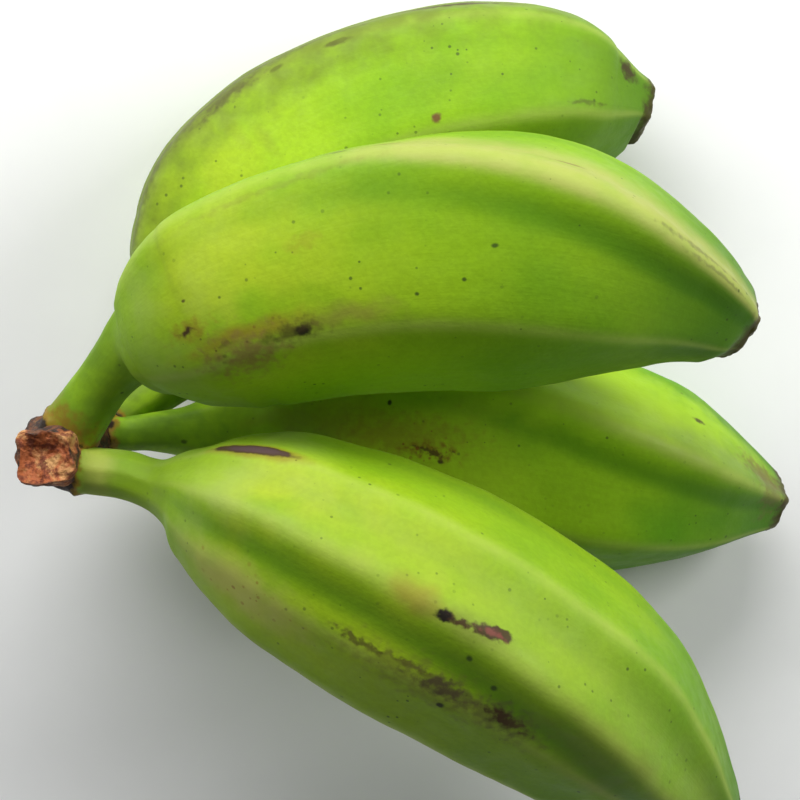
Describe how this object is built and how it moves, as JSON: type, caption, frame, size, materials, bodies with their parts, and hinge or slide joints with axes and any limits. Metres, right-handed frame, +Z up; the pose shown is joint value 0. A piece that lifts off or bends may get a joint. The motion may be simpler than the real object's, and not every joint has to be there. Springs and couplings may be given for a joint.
{
  "type": "plantain",
  "caption": "Hand of thick, angular green cooking plantains, joined by their stalks at one cut woody crown and lying on its side, for dressing a market stall, kitchen or table.",
  "frame": {"origin": "middle of the bounding box's bottom, on the surface the fruit lies on", "axes": "+Z up from that surface; +X from the cut crown towards the tips; +Y across the fan of fruit, on the left when looking from the crown to the tips"},
  "size_m": [0.187, 0.2088, 0.1063],
  "materials": {
    "peel": "satin"
  },
  "bodies": {
    "root": {"plantain_hand": "peel"}
  },
  "joints": []
}
